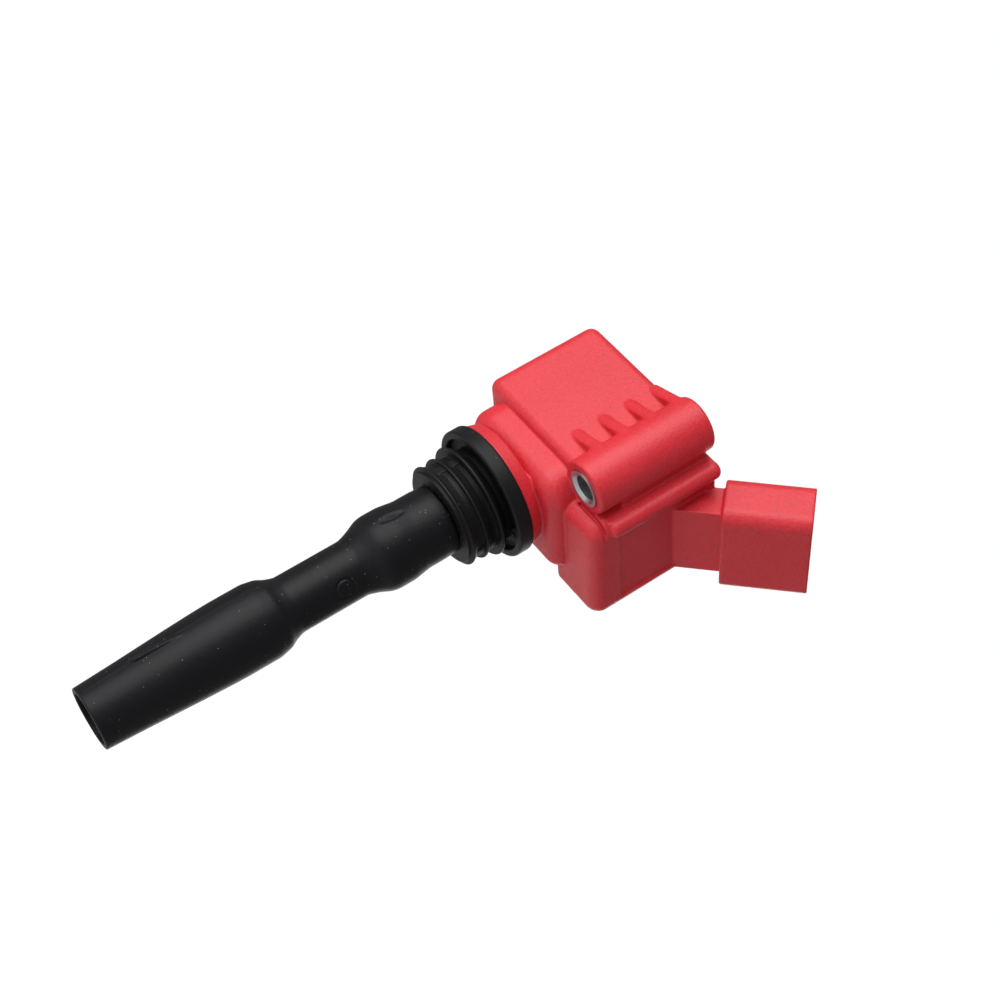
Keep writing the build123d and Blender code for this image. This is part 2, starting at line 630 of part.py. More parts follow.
def terminal_carrier():
    """The insert that holds the terminals in the neck."""
    block = slant_box(carrier_start() + CARRIER_SETBACK, SOCKET_FLOOR, CARRIER_WIDTH, CARRIER_THICKNESS)
    for offset in terminal_places():
        block -= terminal(offset)
    return block


# ---- Transformer ------------------------------------------------------------------------------
def along_x(radius, x0, x1):
    """A cylinder on the winding axis."""
    return Pos((x0 + x1) / 2, CORE_Y, CORE_Z) * Rot(0, 90, 0) * Cylinder(radius, x1 - x0)


def ring_x(outer, inner, x0, x1):
    """A sleeve on the winding axis."""
    return along_x(outer, x0, x1) - along_x(inner, x0 - 1, x1 + 1)


def window():
    """The two ends of the winding window inside the outer core."""
    return FRAME_LEFT + FRAME_LIMB + SEATED, FRAME_RIGHT - FRAME_LIMB - SEATED


def centre_core():
    """The laminated bar inside the windings."""
    left, right = window()
    half = CORE_WIDTH / 2
    return span_box(left + MAGNET_THICKNESS + SEATED, right, CORE_Y - half, CORE_Y + half,
                    CORE_Z - CORE_STACK / 2, CORE_Z + CORE_STACK / 2)


def core_magnet():
    """The bias magnet in the core's gap."""
    left, _ = window()
    half = CORE_WIDTH / 2
    return span_box(left, left + MAGNET_THICKNESS, CORE_Y - half, CORE_Y + half,
                    CORE_Z - CORE_STACK / 2, CORE_Z + CORE_STACK / 2)


def outer_core():
    """The closed laminated frame round the windings."""
    reach = SECONDARY_OUTER + FRAME_GAP
    low, high = CORE_Z - CORE_STACK / 2, CORE_Z + CORE_STACK / 2
    frame = span_box(FRAME_LEFT, FRAME_RIGHT, CORE_Y - reach - FRAME_LIMB, CORE_Y + reach + FRAME_LIMB,
                     low, high)
    inner = span_box(FRAME_LEFT + FRAME_LIMB, FRAME_RIGHT - FRAME_LIMB, CORE_Y - reach, CORE_Y + reach,
                     low - 1, high + 1)
    return frame - inner


def core_cushion(side):
    """A rubber pad between the frame's outer limb and the housing's floor or roof."""
    low = CAVITY_FLOOR if side < 0 else CORE_Z + CORE_STACK / 2 + SEATED
    high = CORE_Z - CORE_STACK / 2 - SEATED if side < 0 else CAVITY_TOP
    y = CORE_Y + SECONDARY_OUTER + FRAME_GAP + FRAME_LIMB / 2
    half = CUSHION_WIDTH / 2
    return span_box(FRAME_LEFT + CUSHION_SHORT, FRAME_RIGHT - CUSHION_SHORT, y - half, y + half,
                    low + SEATED, high - SEATED)


def spool_span():
    """The two ends of both spools."""
    left, right = window()
    return left + MAGNET_THICKNESS + BOBBIN_GAP, right - BOBBIN_GAP


def primary_bobbin():
    """The inner spool with its square-holed tube and two cheeks."""
    left, right = spool_span()
    core = ring_x(PRIMARY_BORE + PRIMARY_WALL, PRIMARY_BORE, left, right)
    for x in (left, right - CHEEK):
        core += ring_x(PRIMARY_OUTER, PRIMARY_BORE, x, x + CHEEK)
    return core


def primary_winding():
    """The low-voltage copper layer."""
    left, right = spool_span()
    return ring_x(PRIMARY_OUTER - PRIMARY_FILL, PRIMARY_BORE + PRIMARY_WALL,
                  left + CHEEK + SEATED, right - CHEEK - SEATED)


def secondary_bobbin():
    """The outer spool, divided into chambers."""
    left, right = spool_span()
    spool = ring_x(SECONDARY_BORE + SECONDARY_WALL, SECONDARY_BORE, left, right)
    pitch = (right - left - CHEEK) / SECONDARY_SECTIONS
    for index in range(SECONDARY_SECTIONS + 1):
        x = left + index * pitch
        spool += ring_x(SECONDARY_OUTER, SECONDARY_BORE, x, x + CHEEK)
    return spool


def secondary_winding():
    """The fine high-voltage copper, one ring in each chamber."""
    left, right = spool_span()
    pitch = (right - left - CHEEK) / SECONDARY_SECTIONS
    rings = []
    for index in range(SECONDARY_SECTIONS):
        x = left + index * pitch + CHEEK + SEATED
        rings.append(ring_x(SECONDARY_OUTER - SECONDARY_FILL, SECONDARY_BORE + SECONDARY_WALL, x,
                            x + pitch - CHEEK - 2 * SEATED))
    return Compound(rings)


# ---- Electronics ------------------------------------------------------------------------------
def driver_board():
    """The driver's circuit board, behind the terminals."""
    back = BOARD_FACE - SEATED
    middle = SOCKET_Y + BOARD_SHIFT
    low = CAVITY_FLOOR + BOARD_LOW
    return span_box(back - BOARD_THICKNESS, back, middle - BOARD_WIDTH / 2, middle + BOARD_WIDTH / 2,
                    low, low + BOARD_HEIGHT)


def chip_back():
    """The face of the board that the transistor stands on."""
    return BOARD_FACE - 2 * SEATED - BOARD_THICKNESS


def power_transistor():
    """The switching transistor's package."""
    x = chip_back()
    body = span_box(x - CHIP_THICKNESS, x, SOCKET_Y - CHIP_SIZE / 2, SOCKET_Y + CHIP_SIZE / 2,
                    CORE_Z - CHIP_HEIGHT / 2, CORE_Z + CHIP_HEIGHT / 2)
    return chamfer(body.faces().sort_by(Axis.X)[0].edges(), CHIP_CHAMFER)


def heat_spreader():
    """The aluminium plate behind the transistor."""
    x = chip_back() - CHIP_THICKNESS - SEATED
    y = SOCKET_Y + SPREADER_SHIFT
    return span_box(x - SPREADER_THICKNESS, x, y - SPREADER_WIDTH / 2, y + SPREADER_WIDTH / 2,
                    CORE_Z - SPREADER_HEIGHT / 2, CORE_Z + SPREADER_HEIGHT / 2)


def suppression_capacitor():
    """The box capacitor on the terminals' side of the board."""
    x = BOARD_FACE + SEATED
    low = CAVITY_FLOOR + CAPACITOR_LOW
    body = span_box(x, x + CAPACITOR_DEPTH, SOCKET_Y - CAPACITOR_WIDTH / 2, SOCKET_Y + CAPACITOR_WIDTH / 2,
                    low, low + CAPACITOR_HEIGHT)
    return fillet(body.faces().sort_by(Axis.X)[-1].edges(), CAPACITOR_EDGE)


def primary_lead(side):
    """A flat copper lead from the primary spool's cheek to the board."""
    _, right = spool_span()
    z = CORE_Z + side * LEAD_OFFSET
    half = LEAD_THICKNESS / 2
    return span_box(right + SEATED, chip_back() - SEATED, CORE_Y - LEAD_WIDTH / 2, CORE_Y + LEAD_WIDTH / 2,
                    z - half, z + half)


# ---- High-voltage path ------------------------------------------------------------------------
def hv_terminal():
    """The brass cup and stem at the top of the tower."""
    head = rod(HV_STEM + HV_HEAD_PROUD, CAVITY_FLOOR + SEATED, CAVITY_FLOOR + HV_HEAD_HEIGHT)
    stem = rod(HV_STEM, RESISTOR_TOP + CAP_WALL + SEATED, CAVITY_FLOOR + HV_HEAD_HEIGHT / 2)
    return head + stem


def resistor_span():
    """The two ends of the resistor's ceramic rod."""
    return RESISTOR_TOP - RESISTOR_LENGTH, RESISTOR_TOP


def suppression_resistor():
    """The ceramic rod in the stalk."""
    low, high = resistor_span()
    return chamfer(rod(RESISTOR_RADIUS, low, high).edges(), RESISTOR_CHAMFER)


def resistor_cap(upper):
    """A pressed cup on one end of the resistor."""
    low, high = resistor_span()
    outer = TUBE_BORE - CAP_GAP
    if upper:
        cup = rod(outer, high - CAP_OVERLAP, high + CAP_WALL)
    else:
        cup = rod(outer, low - CAP_WALL, low + CAP_OVERLAP)
    return cup - rod(RESISTOR_RADIUS + SEATED, low - SEATED, high + SEATED)


def insulator_tube():
    """The rigid tube that carries the high-voltage path down the stalk."""
    body = tube(TUBE_RADIUS, TUBE_BORE, TUBE_END, TUBE_TOP)
    lip = tube((TUBE_BORE + TUBE_RADIUS) / 2, NOSE_RADIUS + NOSE_GAP, TUBE_END, TUBE_END + TUBE_LIP)
    return body + lip


def cap_shoulder():
    """Height of the contact cap's shoulder at rest."""
    return TUBE_END + TUBE_LIP + CAP_REST


def spring_span():
    """The two ends of the contact spring."""
    low, _ = resistor_span()
    return cap_shoulder() + CAP_LENGTH + SPRING_GAP, low - CAP_WALL - SEATED


def plug_contact_cap():
    """The sprung brass cap that meets the spark plug."""
    shoulder_z = cap_shoulder()
    body = rod(TUBE_BORE - CAP_GAP, shoulder_z, shoulder_z + CAP_LENGTH)
    body -= rod(TUBE_BORE - CAP_SKIRT, shoulder_z + CAP_FLOOR, shoulder_z + CAP_LENGTH + 1)
    body += rod(CAP_PEG, shoulder_z + CAP_FLOOR / 2, shoulder_z + CAP_LENGTH - CAP_PEG)
    nose = rod(NOSE_RADIUS, shoulder_z - NOSE_LENGTH, shoulder_z + 1)
    nose = fillet(nose.edges().group_by(Axis.Z)[0], NOSE_EDGE)
    return body + nose


def contact_spring():
    """The compression spring between the resistor and the contact cap."""
    low, high = spring_span()
    low += SPRING_WIRE
    high -= SPRING_WIRE
    pitch = (high - low) / SPRING_TURNS
    path = Helix(pitch, high - low, SPRING_RADIUS)
    start = path @ 0
    section = Plane(origin=start, z_dir=path % 0) * Circle(SPRING_WIRE)
    return Pos(0, 0, low) * sweep(section, path, is_frenet=True)


def hv_diode():
    """The diode beside the high-voltage terminal."""
    body = fillet(Cylinder(DIODE_RADIUS, DIODE_LENGTH).edges(), DIODE_EDGE)
    return Pos(DIODE_X, DIODE_Y, CAVITY_FLOOR + DIODE_LIFT) * Rot(0, 90, 0) * body


def diode_lead():
    """The wire from the diode to the high-voltage terminal."""
    z = CAVITY_FLOOR + DIODE_LIFT
    half = LEAD_THICKNESS / 2
    left, right = DROP_X - half, DROP_X + half
    start = DIODE_X + DIODE_LENGTH / 2 + SEATED
    run = span_box(start, right, DIODE_Y - half, DIODE_Y + half, z - half, z + half)
    turn = span_box(left, right, DIODE_Y - half, DROP_Y + half, z - half, z + half)
    drop = span_box(left, right, DROP_Y - half, DROP_Y + half,
                    CAVITY_FLOOR + HV_HEAD_HEIGHT + SEATED, z + half)
    return run + turn + drop


def potting_compound():
    """The cast resin that closes the back of the head."""
    high = HEAD_BACK - POTTING_TOP
    fill = span_box(CAVITY_LEFT, CAVITY_RIGHT, high - POTTING_DEPTH, high, CAVITY_FLOOR, CAVITY_TOP)
    return fillet(edges_along(fill, Axis.Y, X=(CAVITY_LEFT - 1, CAVITY_LEFT + 1)), CAVITY_CORNER)


def build():
    """Every node of the coil, by name."""
    nodes = {
        "housing": housing(),
        "mounting_bush": mounting_bush(),
        "seal_collar": seal_collar(),
        "boot": boot(),
        "terminal_carrier": terminal_carrier(),
        "driver_board": driver_board(),
        "power_transistor": power_transistor(),
        "heat_spreader": heat_spreader(),
        "suppression_capacitor": suppression_capacitor(),
        "centre_core": centre_core(),
        "core_magnet": core_magnet(),
        "outer_core": outer_core(),
        "core_cushion_lower": core_cushion(-1),
        "core_cushion_upper": core_cushion(1),
        "primary_bobbin": primary_bobbin(),
        "primary_winding": primary_winding(),
        "secondary_bobbin": secondary_bobbin(),
        "secondary_winding": secondary_winding(),
        "primary_lead_lower": primary_lead(-1),
        "primary_lead_upper": primary_lead(1),
        "hv_diode": hv_diode(),
        "diode_lead": diode_lead(),
        "hv_terminal": hv_terminal(),
        "suppression_resistor": suppression_resistor(),
        "resistor_cap_upper": resistor_cap(True),
        "resistor_cap_lower": resistor_cap(False),
        "insulator_tube": insulator_tube(),
        "contact_spring": contact_spring(),
        "plug_contact_cap": plug_contact_cap(),
        "potting_compound": potting_compound(),
    }
    for index, offset in enumerate(terminal_places()):
        nodes[f"terminal_{index + 1}"] = terminal(offset)
    return nodes


os.makedirs("parts", exist_ok=True)
for name, shape in build().items():
    export_step(shape, f"parts/{name}.step")
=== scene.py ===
"""Plug-top ignition coil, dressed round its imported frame: red moulded head, well seal and plug boot.

Every piece is in metres in the frame's own axes: +Z runs up the plug well, +X points to the
connector and -Y is the large flat face. Sizes in the classes are in millimetres.
"""

from __future__ import annotations

import json
import logging
import math
from dataclasses import dataclass, field
from enum import Enum

import bpy
import numpy as np
from mathutils import Matrix, Vector

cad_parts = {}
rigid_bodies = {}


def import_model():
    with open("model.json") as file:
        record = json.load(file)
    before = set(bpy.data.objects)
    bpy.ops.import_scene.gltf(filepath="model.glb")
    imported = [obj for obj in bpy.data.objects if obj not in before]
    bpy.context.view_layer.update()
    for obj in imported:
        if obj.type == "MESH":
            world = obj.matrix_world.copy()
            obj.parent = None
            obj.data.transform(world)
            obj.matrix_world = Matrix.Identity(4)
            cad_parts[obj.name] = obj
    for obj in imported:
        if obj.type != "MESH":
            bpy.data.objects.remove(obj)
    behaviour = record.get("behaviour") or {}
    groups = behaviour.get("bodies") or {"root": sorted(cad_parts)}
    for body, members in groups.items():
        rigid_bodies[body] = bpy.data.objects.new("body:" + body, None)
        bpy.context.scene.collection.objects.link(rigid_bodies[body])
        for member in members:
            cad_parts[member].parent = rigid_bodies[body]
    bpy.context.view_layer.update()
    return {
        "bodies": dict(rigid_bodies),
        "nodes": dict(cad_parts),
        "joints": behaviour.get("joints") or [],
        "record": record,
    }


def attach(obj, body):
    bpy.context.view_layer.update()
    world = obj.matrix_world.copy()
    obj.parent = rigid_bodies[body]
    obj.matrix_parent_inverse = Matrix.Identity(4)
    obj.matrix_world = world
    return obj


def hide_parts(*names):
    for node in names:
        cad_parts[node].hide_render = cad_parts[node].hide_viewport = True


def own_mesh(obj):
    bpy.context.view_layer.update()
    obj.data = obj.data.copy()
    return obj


LOG = logging.getLogger("coil")
MM = 0.001
WAVES_PER_UNIT = 20
DUST_COLOUR = "#8f8d88"


def srgb(code: str) -> tuple[float, float, float, float]:
    """Turns an sRGB hex value into a linear colour with full alpha.

    Args:
        code: The colour as "#rrggbb".

    Returns:
        Red, green, blue and alpha for a shader socket.
    """
    channels = [int(code[i:i + 2], 16) / 255 for i in (1, 3, 5)]
    linear = [c / 12.92 if c <= 0.04045 else ((c + 0.055) / 1.055) ** 2.4 for c in channels]
    return linear[0], linear[1], linear[2], 1.0


def per_mm(size: float) -> float:
    """Gives the texture scale for a pattern that repeats every so many millimetres."""
    return 1.0 / (size * MM)


def add_node(tree: bpy.types.NodeTree, kind: str, settings: dict | None = None,
             values: dict | None = None, links: dict | None = None) -> bpy.types.Node:
    """Adds one shader node.

    Args:
        tree: The material's or world's node tree.
        kind: The node's type.
        settings: Attributes of the node.
        values: Default values of its input sockets, by name or index.
        links: Output sockets that feed its input sockets, by name or index.

    Returns:
        The new node.
    """
    node = tree.nodes.new(kind)
    for name, value in (settings or {}).items():
        setattr(node, name, value)
    for name, value in (values or {}).items():
        node.inputs[name].default_value = value
    for name, source in (links or {}).items():
        tree.links.new(source, node.inputs[name])
    return node


class Pattern(Enum):
    """How a finish varies over its surface."""

    SPARK_GRAIN = "fine pits left by a spark-eroded mould"
    MOULDED_SKIN = "smooth moulded skin with a little dust"
    TURNED = "fine rings left by a lathe"
    WOUND = "round wires side by side"
    STACKED = "edges of punched sheets"
    CAST = "level cast surface with slow waves"
    PRESSED = "smooth pressed metal with faint drag marks"


@dataclass(frozen=True)
class Finish:
    """One real material and how its surface was made."""

    name: str
    pattern: Pattern
    light: str
    dark: str
    roughness: float
    metallic: float = 0.0
    ior: float = 1.5
    specular: float = 0.5
    detail_mm: float = 0.5
    depth_mm: float = 0.02
    dust: float = 0.0
    speckle: float = 0.0
    rough_spread: float = 0.08
    cloud_cells: float = 28.0
    wave_cells: float = 12.0
    dust_spacing_mm: float = 1.1
    centre_mm: tuple[float, float] = (0.0, 0.0)

    def material(self) -> bpy.types.Material:
        """Builds the node material.

        Returns:
            The material, with colour, roughness and bump from its pattern.
        """
        made = bpy.data.materials.new(self.name)
        made.use_nodes = True
        tree = made.node_tree
        tree.nodes.clear()
        place = add_node(tree, "ShaderNodeTexCoord").outputs["Object"]
        height, grain = self.relief(tree, place)
        cloud = add_node(tree, "ShaderNodeTexNoise",
                         values={"Scale": per_mm(self.detail_mm * self.cloud_cells), "Detail": 3.0},
                         links={"Vector": place}).outputs["Fac"]
        tone = add_node(tree, "ShaderNodeMapRange", values={"From Min": 0.3, "From Max": 0.7},
                        links={"Value": cloud}).outputs["Result"]
        colour = add_node(tree, "ShaderNodeMix", {"data_type": "RGBA"},
                          {6: srgb(self.dark), 7: srgb(self.light)}, {0: tone}).outputs[2]
        if self.speckle > 0:
            shade = add_node(tree, "ShaderNodeMapRange",
                             values={"From Min": 0.36, "From Max": 0.64,
                                     "To Min": 1 - self.speckle, "To Max": 1.0},
                             links={"Value": grain}).outputs["Result"]
            colour = add_node(tree, "ShaderNodeMix", {"data_type": "RGBA", "blend_type": "MULTIPLY"},
                              {0: 1.0}, {6: colour, 7: shade}).outputs[2]
        if self.dust > 0:
            colour = self.dusted(tree, place, colour)
        spread = add_node(tree, "ShaderNodeMapRange",
                          values={"To Min": self.roughness - self.rough_spread,
                                  "To Max": self.roughness + self.rough_spread},
                          links={"Value": grain}).outputs["Result"]
        bump = add_node(tree, "ShaderNodeBump",
                        values={"Strength": 1.0, "Distance": self.depth_mm * MM},
                        links={"Height": height}).outputs["Normal"]
        shader = add_node(tree, "ShaderNodeBsdfPrincipled",
                          values={"Metallic": self.metallic, "Specular IOR Level": self.specular},
                          links={"Base Color": colour, "Roughness": spread, "Normal": bump})
        if self.metallic == 0:
            shader.inputs["IOR"].default_value = self.ior
        add_node(tree, "ShaderNodeOutputMaterial", links={"Surface": shader.outputs["BSDF"]})
        return made

    def relief(self, tree: bpy.types.NodeTree, place: bpy.types.NodeSocket) -> tuple:
        """Builds the surface's height and the value that varies its roughness.

        Args:
            tree: The material's node tree.
            place: The position socket.

        Returns:
            The height socket and the roughness socket.
        """
        grain = add_node(tree, "ShaderNodeTexNoise",
                         values={"Scale": per_mm(self.detail_mm), "Detail": 4.0, "Roughness": 0.6},
                         links={"Vector": place}).outputs["Fac"]
        if self.pattern is Pattern.TURNED:
            shift = add_node(tree, "ShaderNodeMapping",
                             values={"Location": (-self.centre_mm[0] * MM, -self.centre_mm[1] * MM, 0.0)},
                             links={"Vector": place}).outputs["Vector"]
            rings = add_node(tree, "ShaderNodeTexWave", {"wave_type": "RINGS", "rings_direction": "Z"},
                             {"Scale": per_mm(self.detail_mm) / WAVES_PER_UNIT, "Distortion": 0.6},
                             {"Vector": shift})
            return rings.outputs["Fac"], grain
        if self.pattern in (Pattern.WOUND, Pattern.STACKED):
            axis = "X" if self.pattern is Pattern.WOUND else "Z"
            lines = add_node(tree, "ShaderNodeTexWave", {"wave_type": "BANDS", "bands_direction": axis},
                             {"Scale": per_mm(self.detail_mm) / WAVES_PER_UNIT, "Distortion": 0.2},
                             {"Vector": place})
            return lines.outputs["Fac"], grain
        if self.pattern is Pattern.CAST:
            waves = add_node(tree, "ShaderNodeTexNoise",
                             values={"Scale": per_mm(self.detail_mm * self.wave_cells), "Detail": 2.0},
                             links={"Vector": place})
            return waves.outputs["Fac"], grain
        return grain, grain

    def dusted(self, tree: bpy.types.NodeTree, place: bpy.types.NodeSocket,
               colour: bpy.types.NodeSocket) -> bpy.types.NodeSocket:
        """Adds pale specks of dust to a colour.

        Args:
            tree: The material's node tree.
            place: The position socket.
            colour: The clean colour.

        Returns:
            The dusted colour.
        """
        cells = add_node(tree, "ShaderNodeTexVoronoi",
                         values={"Scale": per_mm(self.dust_spacing_mm), "Randomness": 1.0},
                         links={"Vector": place})
        rare = add_node(tree, "ShaderNodeTexWhiteNoise", {"noise_dimensions": "3D"},
                        links={"Vector": cells.outputs["Position"]}).outputs["Value"]
        speck = add_node(tree, "ShaderNodeMapRange", values={"From Min": 0.12, "From Max": 0.05},
                         links={"Value": cells.outputs["Distance"]}).outputs["Result"]
        chosen = add_node(tree, "ShaderNodeMath", {"operation": "LESS_THAN"}, {1: self.dust},
                          {0: rare}).outputs["Value"]
        weight = add_node(tree, "ShaderNodeMath", {"operation": "MULTIPLY"}, links={0: speck, 1: chosen})
        return add_node(tree, "ShaderNodeMix", {"data_type": "RGBA"}, {7: srgb(DUST_COLOUR)},
                        {0: weight.outputs["Value"], 6: colour}).outputs[2]


@dataclass
class Palette:
    """Every finish of the coil, by the record's material slot."""

    finishes: dict[str, Finish] = field(default_factory=lambda: {
        # Glass-filled PBT in a spark-eroded mould: satin, with a fine grain that breaks up its highlights.
        # The real pits are about 0.1 mm across and are drawn coarser so that they show.
        "housing_plastic": Finish("red_pbt_spark_eroded", Pattern.SPARK_GRAIN, "#dc2c38", "#d42531", 0.46,
                                  ior=1.5, detail_mm=0.7, depth_mm=0.11, speckle=0.16),
        # Zinc-plated turned steel: soft grey, with rings that catch the light on its end face.
        "bush_steel": Finish("zinc_plated_steel_turned", Pattern.TURNED, "#c4c7ca", "#aeb2b5", 0.4,
                             metallic=1.0, detail_mm=0.35, depth_mm=0.02, centre_mm=(23.5, -14.0)),
        # Silicone rubber, moulded and a little dusty: dark, with soft edges to its reflections.
        "seal_rubber": Finish("black_rubber_seal", Pattern.MOULDED_SKIN, "#101012", "#0b0b0d", 0.5,
                              specular=0.24, detail_mm=0.6, depth_mm=0.04, dust=0.06),
        # EPDM rubber, moulded smooth and dusty: a shade bluer than the seal, with a clearer sheen.
        "boot_rubber": Finish("black_rubber_boot", Pattern.MOULDED_SKIN, "#0e0e13", "#0a0a0e", 0.46,
                              specular=0.24, detail_mm=0.6, depth_mm=0.03, dust=0.2),
        # Black PBT: matt behind the bright terminals.
        "carrier_plastic": Finish("black_pbt_insert", Pattern.SPARK_GRAIN, "#262627", "#1b1b1c", 0.5),
        # Glass-epoxy laminate under solder resist: green, with the weave just telling.
        "board_laminate": Finish("green_glass_laminate", Pattern.WOUND, "#2e6a45", "#245639", 0.45),
        # Moulded epoxy: dull black.
        "chip_plastic": Finish("black_epoxy_package", Pattern.SPARK_GRAIN, "#2a2a2b", "#202021", 0.6),
        # Rolled aluminium: pale, with drag marks.
        "spreader_aluminium": Finish("rolled_aluminium", Pattern.PRESSED, "#d2d4d6", "#c0c3c6", 0.35,
                                     metallic=1.0),
        # Dipped polyester: glossy brick red.
        "capacitor_plastic": Finish("dipped_polyester", Pattern.MOULDED_SKIN, "#a5452d", "#933a25", 0.3),
        # Punched silicon steel: grey, with the sheets' edges showing as lines.
        "core_steel": Finish("silicon_steel_laminations", Pattern.STACKED, "#8f9295", "#75787b", 0.45,
                             metallic=1.0, detail_mm=0.5),
        # Sintered magnet: dark and granular.
        "magnet": Finish("sintered_magnet", Pattern.SPARK_GRAIN, "#55565a", "#46474a", 0.55, metallic=1.0),
        # Unfilled PBT: ivory and satin.
        "bobbin_plastic": Finish("natural_pbt", Pattern.MOULDED_SKIN, "#e2dccb", "#d8d1bd", 0.5),
        # Enamelled copper: warm and glossy, its turns drawn wider than the real wire so that they show.
        "winding_copper": Finish("enamelled_copper_wire", Pattern.WOUND, "#c4703a", "#a9582a", 0.28,
                                 metallic=1.0, detail_mm=0.4, depth_mm=0.08),
        # Pressed brass, left bright: warm, with faint drag marks.
        "contact_brass": Finish("pressed_brass", Pattern.PRESSED, "#d9bd74", "#c6a75c", 0.28, metallic=1.0),
        # Tin over brass: pale and slightly soft.
        "terminal_brass": Finish("tinned_brass", Pattern.PRESSED, "#d4d2c8", "#c2beb0", 0.3, metallic=1.0),
        # Fired alumina: off-white and dry.
        "resistor_ceramic": Finish("fired_alumina", Pattern.SPARK_GRAIN, "#ece9df", "#e0dccf", 0.6),
        # Moulded phenolic: dark brown with a dull shine.
        "tube_plastic": Finish("brown_phenolic_tube", Pattern.MOULDED_SKIN, "#3a2a22", "#2e211b", 0.35),
        # Drawn spring wire: bright grey, with drag marks.
        "spring_steel": Finish("drawn_spring_steel", Pattern.PRESSED, "#b9bbbd", "#a3a6a8", 0.3,
                               metallic=1.0),
        # Epoxy, poured and cured level: glossy, nearly black, with slow waves.
        "potting_resin": Finish("cast_black_epoxy", Pattern.CAST, "#1b1817", "#131110", 0.16,
                                detail_mm=0.6, depth_mm=0.25, rough_spread=0.03),
    })
    made: dict[str, bpy.types.Material] = field(default_factory=dict)

    def get(self, slot: str) -> bpy.types.Material:
        """Gives the slot's material, made once."""
        if slot not in self.made:
            self.made[slot] = self.finishes[slot].material()
        return self.made[slot]


def publish(name: str, mesh: bpy.types.Mesh, body: str, node: str, slot: str,
            palette: Palette) -> bpy.types.Object:
    """Puts a finished mesh into the scene in place of a CAD node.

    Args:
        name: The piece's name.
        mesh: Its mesh, already in place.
        body: The CAD body it moves with.
        node: The CAD node it stands for.
        slot: The record's material slot.
        palette: Where its material comes from.

    Returns:
        The new object.
    """
    piece = bpy.data.objects.new(name, mesh)
    bpy.context.scene.collection.objects.link(piece)
    mesh.materials.clear()
    mesh.materials.append(palette.get(slot))
    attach(piece, body)
    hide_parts(node)
    LOG.info("%s: %d faces on %s", name, len(mesh.polygons), body)
    return piece


def rounded(corners: list[tuple[float, float, float]], steps: int = 5) -> np.ndarray:
    """Rounds the corners of a closed outline.

    Args:
        corners: Radius, height and rounding of each corner, in millimetres.
        steps: How many points make one rounded corner.

    Returns:
        The outline's points, one row each.
    """
    points = np.array([c[:2] for c in corners])
    out = []
    for index, (_, _, cut) in enumerate(corners):
        here = points[index]
        before = points[index - 1] - here
        after = points[(index + 1) % len(points)] - here
        lengths = np.linalg.norm(before), np.linalg.norm(after)
        reach = min(cut, 0.49 * lengths[0], 0.49 * lengths[1])
        if reach < 0.01:
            out.append(here)
            continue
        start = here + before / lengths[0] * reach
        end = here + after / lengths[1] * reach
        for t in np.linspace(0, 1, steps):
            out.append((1 - t) ** 2 * start + 2 * t * (1 - t) * here + t ** 2 * end)
    return np.array(out)


def resampled(outline: np.ndarray, spacing: float) -> np.ndarray:
    """Adds points so that no side of a closed outline is longer than the spacing.

    Args:
        outline: The outline's points.
        spacing: The longest side allowed, in millimetres.

    Returns:
        The finer outline.
    """
    out = []
    for here, there in zip(outline, np.roll(outline, -1, axis=0)):
        parts = max(1, math.ceil(np.linalg.norm(there - here) / spacing))
        out.extend(here + (there - here) * k / parts for k in range(parts))
    return np.array(out)


def grid_mesh(name: str, points: np.ndarray) -> bpy.types.Mesh:
    """Makes a closed ring-shaped mesh from a grid of points.

    Args:
        name: The mesh's name.
        points: Places in millimetres, around first and along the outline second.

    Returns:
        The mesh, in metres, with its normals outwards.
    """
    around, along, _ = points.shape
    index = np.arange(around * along).reshape(around, along)
    right, up = np.roll(index, -1, axis=0), np.roll(index, -1, axis=1)
    both = np.roll(right, -1, axis=1)
    faces = np.stack([index, right, both, up], axis=-1).reshape(-1, 4)
    mesh = bpy.data.meshes.new(name)
    mesh.from_pydata((points.reshape(-1, 3) * MM).tolist(), [], faces.tolist())
    mesh.validate()
    mesh.shade_smooth()
    return mesh


def ridge(distance: np.ndarray, half: float, soft: float) -> np.ndarray:
    """Gives 1 inside a half width and falls smoothly to 0 over a soft edge."""
    t = np.clip((half + soft - np.abs(distance)) / soft, 0, 1)
    return t * t * (3 - 2 * t)


def turned_from(angle: np.ndarray, centre: float) -> np.ndarray:
    """Gives the signed angle from a centre, in radians, for a centre in degrees."""
    return (angle - math.radians(centre) + math.pi) % (2 * math.pi) - math.pi


@dataclass
class MouldedHead:
    """The red head, with every inner and outer edge softened as a mould leaves it."""

    voxel: float = 0.26
    blend_rounds: int = 3
    blend_strength: float = 0.5

    def build(self, source: bpy.types.Object, palette: Palette) -> bpy.types.Object:
        """Makes the softened head.

        Args:
            source: The CAD node of the head.
            palette: Where its material comes from.

        Returns:
            The head.
        """
        work = bpy.data.objects.new("head_work", source.data.copy())
        bpy.context.scene.collection.objects.link(work)
        cells = work.modifiers.new("cells", "REMESH")
        cells.mode = "VOXEL"
        cells.voxel_size = self.voxel * MM
        cells.use_smooth_shade = True
        soften = work.modifiers.new("soften", "SMOOTH")
        soften.factor = self.blend_strength
        soften.iterations = self.blend_rounds
        graph = bpy.context.evaluated_depsgraph_get()
        mesh = bpy.data.meshes.new_from_object(work.evaluated_get(graph))
        mesh.name = "coil_head"
        bpy.data.objects.remove(work)
        mesh.shade_smooth()
        return publish("coil_head", mesh, "base", "housing", "housing_plastic", palette)


